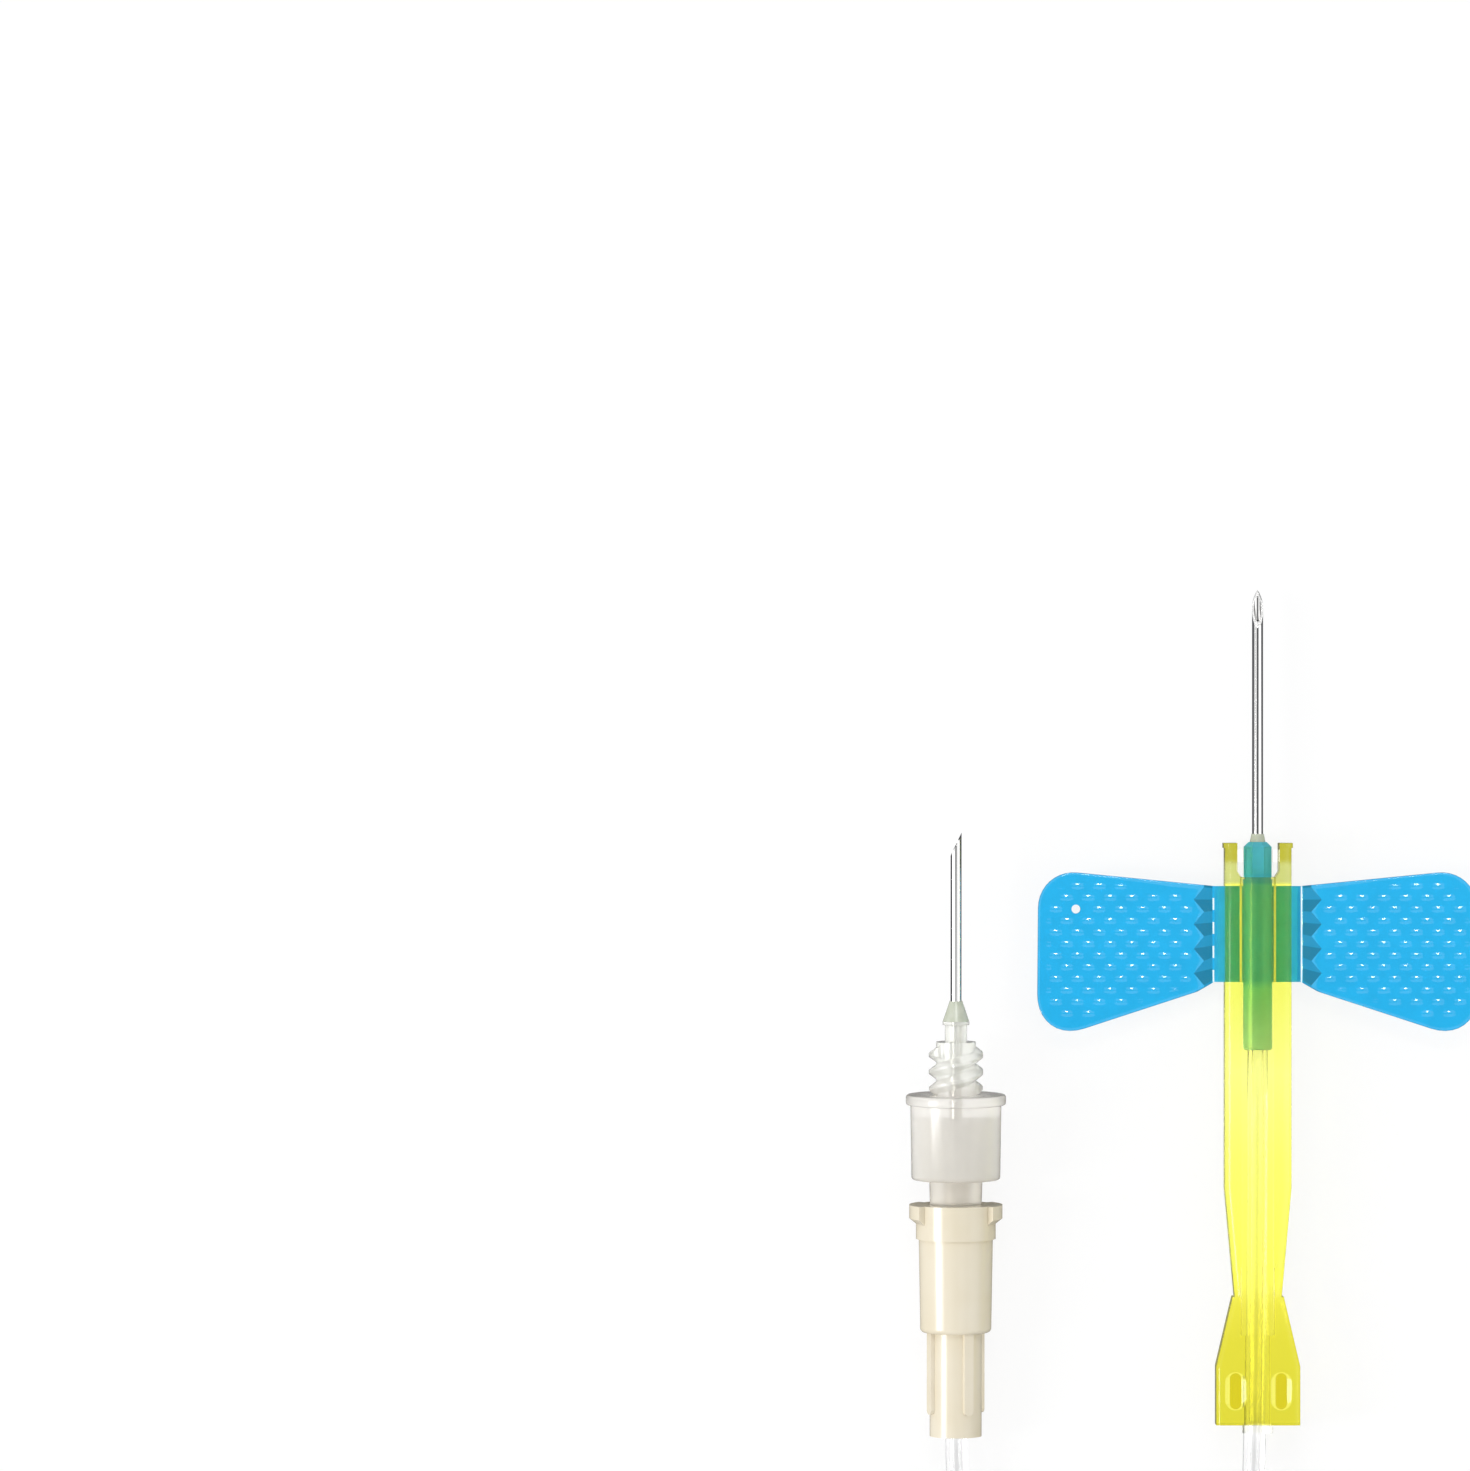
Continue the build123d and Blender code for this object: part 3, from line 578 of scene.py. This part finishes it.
def wing_plate(bm):
    """Plate with rounded corners and rims, thinned towards the hinge and open on its upper side."""
    outline = [bm.verts.new((x, y, PLATE_BOTTOM)) for x, y, radius in WING_CORNERS]
    bm.faces.new(outline)
    for corner, (x, y, radius) in zip(outline, WING_CORNERS):
        if radius:
            one, two = (edge.other_vert(corner).co - corner.co for edge in corner.link_edges)
            bmesh.ops.bevel(bm, geom=[corner], offset=radius / tan(one.angle(two) / 2),
                            offset_type="OFFSET", segments=CORNER_STEPS, profile=0.5,
                            affect="VERTICES", clamp_overlap=False, material=-1)
    raised = bmesh.ops.extrude_face_region(bm, geom=bm.faces[:])
    bmesh.ops.translate(bm, verts=[v for v in raised["geom"] if isinstance(v, bmesh.types.BMVert)],
                        vec=(0, 0, PLATE_TOP - PLATE_BOTTOM))
    bmesh.ops.recalc_face_normals(bm, faces=bm.faces[:])
    rims = [e for e in bm.edges if abs(e.verts[0].co.z - e.verts[1].co.z) < TINY
            and max(v.co.x for v in e.verts) > HINGE_X + TINY]
    bmesh.ops.bevel(bm, geom=rims, offset=EDGE_RADIUS, offset_type="OFFSET", segments=RIM_STEPS,
                    profile=0.5, affect="EDGES", clamp_overlap=False, material=-1)
    bmesh.ops.bisect_plane(bm, geom=bm.verts[:] + bm.edges[:] + bm.faces[:], dist=TINY,
                           plane_co=(RAMP_X, 0, 0), plane_no=(1, 0, 0))
    tops = [f for f in bm.faces if all(abs(v.co.z - PLATE_TOP) < TINY for v in f.verts)]
    seam = [e for e in bm.edges
            if len(e.link_faces) == 2 and all(f in tops for f in e.link_faces)]
    bmesh.ops.delete(bm, geom=tops, context="FACES_ONLY")
    bm.edges.remove(seam[0])
    for vert in bm.verts:
        if vert.co.x < RAMP_X:
            share = (vert.co.x - HINGE_X) / (RAMP_X - HINGE_X)
            plate = PLATE_TOP - PLATE_BOTTOM
            thickness = HINGE_SKIN + share * (plate - HINGE_SKIN)
            vert.co.z = PLATE_BOTTOM + (vert.co.z - PLATE_BOTTOM) * thickness / plate
    bmesh.ops.subdivide_edges(bm, edges=hinge_edges(bm), cuts=2 * TEETH - 1)


# %% Teeth of the wing
def ramp_teeth(bm):
    """Row of teeth between the hinge skin and the plate's top. Returns their crests' edges."""
    rear, front = sorted((v for v in bm.verts if v.is_boundary and abs(v.co.x - RAMP_X) < TINY),
                         key=lambda v: v.co.y)
    steps = 2 * TEETH
    crest = [front]
    for number in range(1, steps):
        place = front.co.lerp(rear.co, number / steps)
        place.x = TOOTH_X if number % 2 else RAMP_X
        crest.append(bm.verts.new(place))
    crest.append(rear)
    crest_edges = [bm.edges.new(pair) for pair in zip(crest, crest[1:])]
    bmesh.ops.bridge_loops(bm, edges=hinge_edges(bm) + crest_edges)
    return crest_edges


# %% Pips on the wing, in millimetres
PIP_LENGTH, PIP_WIDTH, PIP_HEIGHT = 1.60, 0.60, 0.080
PIP_X, PIP_Y = 5.88, 8.38        # one pip's middle
ROW_PITCH = 0.95                 # between two rows of pips
PIP_PITCH = 1.78                 # along a row
CELLS_PER_PIP, CELLS_PER_ROW = 8, 10
PIP_MARGIN = 0.35                # smooth border round the grid
PIP_FADE = 0.30                  # inside it, where the pips grow to their height


def room_inside(place, border):
    """Distance from a place to the nearest border edge, negative outside the border."""
    nearest, crossings = float("inf"), 0
    for edge in border:
        a, b = edge.verts[0].co.xy, edge.verts[1].co.xy
        run = b - a
        share = min(max((place - a).dot(run) / run.length_squared, 0), 1)
        nearest = min(nearest, (place - a - run * share).length)
        if (a.y > place.y) != (b.y > place.y):
            crossings += place.x < a.x + run.x * (place.y - a.y) / run.y
    return nearest if crossings % 2 else -nearest


def pip_swell(x, y):
    """Share of a pip's height at a place on the wing."""
    row = round((y - PIP_Y) / ROW_PITCH)
    along = y - PIP_Y - row * ROW_PITCH
    across = x - PIP_X - row % 2 * PIP_PITCH / 2
    across -= round(across / PIP_PITCH) * PIP_PITCH
    if abs(across) < PIP_LENGTH / 2 and abs(along) < PIP_WIDTH / 2:
        return (cos(pi * across / PIP_LENGTH) * cos(pi * along / PIP_WIDTH)) ** 2
    return 0.0


def pips(bm, border):
    """Grid inside the border, shaped into rows of long low pips. Returns its own border edges."""
    cell = Vector((PIP_PITCH / CELLS_PER_PIP, ROW_PITCH / CELLS_PER_ROW))
    places = [v.co.xy for e in border for v in e.verts]
    low = Vector((min(p.x for p in places), min(p.y for p in places)))
    high = Vector((max(p.x for p in places), max(p.y for p in places)))
    first = Vector((PIP_X, PIP_Y))
    away = (low + high) / 2 - first
    middle = first + Vector((round(away.x / cell.x) * cell.x, round(away.y / cell.y) * cell.y))
    half_x, half_y = (int((high - low)[axis] / cell[axis] / 2) for axis in (0, 1))
    spread = Matrix.Diagonal((half_x * cell.x, half_y * cell.y, 1, 1))
    grid = bmesh.ops.create_grid(bm, x_segments=2 * half_x, y_segments=2 * half_y, size=1.0,
                                 matrix=Matrix.Translation((*middle, PLATE_TOP)) @ spread)["verts"]
    room = {vert: room_inside(vert.co.xy, border) for vert in grid}
    outside = [vert for vert in grid if room[vert] < PIP_MARGIN]
    kept = [vert for vert in grid if room[vert] >= PIP_MARGIN]
    bmesh.ops.delete(bm, geom=outside, context="VERTS")
    stray = [vert for vert in kept if not vert.link_faces]
    kept = [vert for vert in kept if vert.link_faces]
    bmesh.ops.delete(bm, geom=stray, context="VERTS")
    for vert in kept:
        if not vert.is_boundary:
            fade = ease(min((room[vert] - PIP_MARGIN) / PIP_FADE, 1))
            vert.co.z += PIP_HEIGHT * fade * pip_swell(vert.co.x, vert.co.y)
    return [e for vert in kept for e in vert.link_edges if e.is_boundary]


# %% Hole in the left wing, in millimetres
HOLE_X, HOLE_Y, HOLE_RADIUS = 14.90, 8.39, 0.365
HOLE_STEPS = 24


def hole_rings(bm):
    """Rings of edges for a hole, one in the top and one in the underside, which is filled again
    round its ring."""
    underside = max((f for f in bm.faces
                     if all(abs(v.co.z - PLATE_BOTTOM) < TINY for v in f.verts)),
                    key=lambda f: f.calc_area())
    under_border = underside.edges[:]
    bmesh.ops.delete(bm, geom=[underside], context="FACES_ONLY")
    rings = []
    for height in (PLATE_TOP, PLATE_BOTTOM):
        ring = bmesh.ops.create_circle(bm, cap_ends=False, segments=HOLE_STEPS, radius=HOLE_RADIUS,
                                       matrix=Matrix.Translation((HOLE_X, HOLE_Y, height)))
        rings.append(list(dict.fromkeys(e for vert in ring["verts"] for e in vert.link_edges)))
    bmesh.ops.triangle_fill(bm, use_beauty=True, edges=under_border + rings[1], normal=(0, 0, -1))
    return rings


# %% Marks on the wing, in millimetres
HIGHLIGHT_STRIP = 0.15               # width of the painted highlight along the hinge
TEETH_REAR, TEETH_FRONT = WING_CORNERS[-1][1], WING_CORNERS[0][1]
DASH = (TEETH_FRONT - TEETH_REAR) / TEETH / 2
FACING = 0.3                     # upward share of a normal from which a face looks up or down
TOOTH_DROP = 0.05                # below the plate's top, where the teeth start
# painted shade of the teeth, on faces turned to the front and to the rear
FRONT_PAINTED_SHADE, REAR_PAINTED_SHADE = 1.0, 0.7


def cut_hinge_strip(bm):
    """Cut the strip of the painted hinge highlight into dashes, two to each tooth."""
    bmesh.ops.bisect_plane(bm, geom=bm.verts[:] + bm.edges[:] + bm.faces[:], dist=TINY,
                           plane_co=(HINGE_X + HIGHLIGHT_STRIP, 0, 0), plane_no=(1, 0, 0))
    for number in range(1, 2 * TEETH):
        strip = [f for f in bm.faces
                 if all(v.co.x < HINGE_X + HIGHLIGHT_STRIP + TINY for v in f.verts)]
        parts = dict.fromkeys(part for f in strip for part in (*f.verts, *f.edges))
        bmesh.ops.bisect_plane(bm, geom=strip + list(parts), dist=TINY, plane_no=(0, 1, 0),
                               plane_co=(0, TEETH_REAR + number * DASH, 0))


def mark_wing(mesh, side):
    """Mark the teeth with painted shade, deeper on faces turned to the front, the matt skin, and a
    painted highlight along the hinge, which is dashed on the left wing.
    """
    shade = mesh.attributes.new("painted_tooth_shade", "FLOAT", "FACE")
    white = mesh.attributes.new("painted_hinge_highlight", "FLOAT", "FACE")
    matt = mesh.attributes.new("matt_skin", "FLOAT", "FACE")
    for face in mesh.polygons:
        x, y, z = face.center / MM
        matt.data[face.index].value = 1.0 if face.normal.z < -FACING else 0.0
        # painted highlight along the hinge
        if abs(x) < HINGE_X + HIGHLIGHT_STRIP:
            dash = int((y - TEETH_REAR) / DASH) % 2 == 0
            white.data[face.index].value = 1.0 if side > 0 or dash else 0.0
        # painted shade on the teeth
        elif face.normal.z > FACING and z < PLATE_TOP - TOOTH_DROP and abs(x) < TOOTH_X:
            shade.data[face.index].value = FRONT_PAINTED_SHADE if face.normal.y > 0 else REAR_PAINTED_SHADE
            matt.data[face.index].value = 1.0


# %% Whole wings
WING_SHARP = radians(28)         # angle between faces from which an edge stays crisp


def wing(name, side, with_hole):
    """One wing as a closed mesh, on the right for side 1 and mirrored to the left for side -1."""
    bm = bmesh.new()
    wing_plate(bm)
    border = [e for e in bm.edges
              if e.is_boundary and min(v.co.x for v in e.verts) > RAMP_X - TINY]
    border += ramp_teeth(bm)
    if with_hole:
        top_ring, under_ring = hole_rings(bm)
        border += top_ring
    pip_border = list(dict.fromkeys(pips(bm, border)))
    bmesh.ops.triangle_fill(bm, use_beauty=True, edges=border + pip_border, normal=(0, 0, 1))
    if with_hole:
        bmesh.ops.bridge_loops(bm, edges=top_ring + under_ring)
    cut_hinge_strip(bm)
    bmesh.ops.scale(bm, verts=bm.verts, vec=(side * MM, MM, MM))
    bmesh.ops.recalc_face_normals(bm, faces=bm.faces[:])
    mesh = bpy.data.meshes.new(name)
    bm.to_mesh(mesh)
    print(name, "faces", len(bm.faces),
          "open edges", len([e for e in bm.edges if len(e.link_faces) != 2]),
          "volume", round(bm.calc_volume() / MM**3, 1))
    bm.free()
    mesh.shade_smooth()
    mesh.set_sharp_from_angle(angle=WING_SHARP)
    mark_wing(mesh, side)
    piece = bpy.data.objects.new(name, mesh)
    bpy.context.scene.collection.objects.link(piece)
    mesh.materials.append(blue_vinyl)
    body = name.replace("textured_", "")
    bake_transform(piece)
    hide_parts(body)


wing("textured_left_wing", -1, True)
wing("textured_right_wing", 1, False)

# %% [markdown]
# ## Hazy adapter
#
# The adapter is turned about the connector's axis: a hollow male cone inside a skirt, a flange, and
# a stem that ends in a small spigot for the needle. See-through plastic shows every facet, so its
# section is spun in fine steps. The stem carries a coarse two-start thread, and its fine rows of
# vertices are moved outwards to make the two ridges, so that stem and thread stay one closed skin.

# %% Section of the adapter: radius, height along the axis and corner radius, in millimetres
CONNECTOR_TAIL = Vector((-24.76, -34.81, 2.361))
CONNECTOR_TILT = 3.641           # degrees
STEM_RADIUS, STEM_BASE, STEM_TOP = 1.625, 28.08, 32.41
ADAPTER_SECTION = (
    (1.05, 14.05, 0), (1.97, 14.05, 0.10), (2.333, 26.15, 0), (2.93, 26.15, 0.15),
    (2.835, 21.11, 0.10), (3.635, 21.11, 0.22), (3.73, 27.25, 0), (4.10, 27.25, 0.18),
    (4.10, STEM_BASE, 0.18), (STEM_RADIUS, STEM_BASE, 0), (STEM_RADIUS, STEM_TOP, 0),
    (0.90, STEM_TOP, 0), (0.90, 33.81, 0), (1.10, 33.81, 0.06), (1.10, 34.13, 0.06),
    (0.46, 34.13, 0), (0.46, 25.19, 0), (1.05, 26.15, 0),
)
SECTION_STEPS = 4                # in each rounded corner
STEM_ROWS = 64
TURN_STEPS = 96
ADAPTER_SHARP = radians(35)
connector_place = (Matrix.Translation(CONNECTOR_TAIL)
                   @ Matrix.Rotation(radians(CONNECTOR_TILT - 90), 4, "X"))

# %% Thread of the adapter, in millimetres
THREAD_HEIGHT = 0.60
THREAD_HALF_ROOT, THREAD_HALF_CREST = 0.58, 0.14
THREAD_LEAD = 2.80
THREAD_FROM, THREAD_TO = 0.30, 3.62
THREAD_START = 158.0             # degrees, so that crests meet the left and right outline level
THREAD_RUN_OUT = 0.08            # share of a turn in which a ridge rises or fades


def ridge(angle, height):
    """How far the thread stands out at this angle, in radians, and height above the flange."""
    tallest, turns = 0.0, (THREAD_TO - THREAD_FROM) / THREAD_LEAD
    for start in (THREAD_START, THREAD_START + 180):
        turn = (angle - radians(start)) / (2 * pi) % 1.0
        while turn <= turns:
            away = abs(height - THREAD_FROM - THREAD_LEAD * turn)
            flank = (THREAD_HALF_ROOT - away) / (THREAD_HALF_ROOT - THREAD_HALF_CREST)
            run_out = min(turn, turns - turn) / THREAD_RUN_OUT
            tallest = max(tallest, THREAD_HEIGHT * min(flank, run_out, 1))
            turn += 1
    return tallest


# %% Adapter spun from its section
bm = bmesh.new()
corners = [bm.verts.new((radius, 0, height)) for radius, height, corner in ADAPTER_SECTION]
bm.faces.new(corners)
for vert, (radius, height, corner) in zip(corners, ADAPTER_SECTION):
    if corner:
        bmesh.ops.bevel(bm, geom=[vert], offset=corner, offset_type="OFFSET",
                        segments=SECTION_STEPS, profile=0.5, affect="VERTICES",
                        clamp_overlap=False, material=-1)
bmesh.ops.delete(bm, geom=bm.faces[:], context="FACES_ONLY")
stem_edge = [e for e in bm.edges if all(abs(v.co.x - STEM_RADIUS) < TINY for v in e.verts)]
bmesh.ops.subdivide_edges(bm, edges=stem_edge, cuts=STEM_ROWS)
bmesh.ops.spin(bm, geom=bm.verts[:] + bm.edges[:], cent=(0, 0, 0), axis=(0, 0, 1), angle=2 * pi,
               steps=TURN_STEPS, use_merge=True)
for vert in bm.verts:
    on_stem = STEM_BASE + TINY < vert.co.z < STEM_TOP - TINY
    if on_stem and abs(vert.co.xy.length - STEM_RADIUS) < TINY:
        reach = STEM_RADIUS + ridge(atan2(vert.co.y, vert.co.x), vert.co.z - STEM_BASE)
        vert.co.xy = vert.co.xy * (reach / STEM_RADIUS)
bmesh.ops.transform(bm, matrix=Matrix.Scale(MM, 4) @ connector_place, verts=bm.verts)
bmesh.ops.recalc_face_normals(bm, faces=bm.faces[:])
adapter_mesh = bpy.data.meshes.new("threaded_adapter")
bm.to_mesh(adapter_mesh)
print("adapter faces", len(bm.faces),
      "open edges", len([e for e in bm.edges if len(e.link_faces) != 2]),
      "volume", round(bm.calc_volume() / MM**3, 1))
bm.free()

# %% Adapter in its place
adapter_mesh.shade_smooth()
adapter_mesh.set_sharp_from_angle(angle=ADAPTER_SHARP)
adapter_mesh.materials.append(hazy_adapter)
adapter = bpy.data.objects.new("threaded_adapter", adapter_mesh)
bpy.context.scene.collection.objects.link(adapter)
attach(adapter, "adapter")
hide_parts("luer_adapter")
print("adapter", adapter.name)

# %% [markdown]
# ## Far end of the tubing
#
# The connector, the adapter and the second needle lie at the far end of the tubing. The last
# cell only brings the scene up to date.

# %% Last line
bpy.context.view_layer.update()
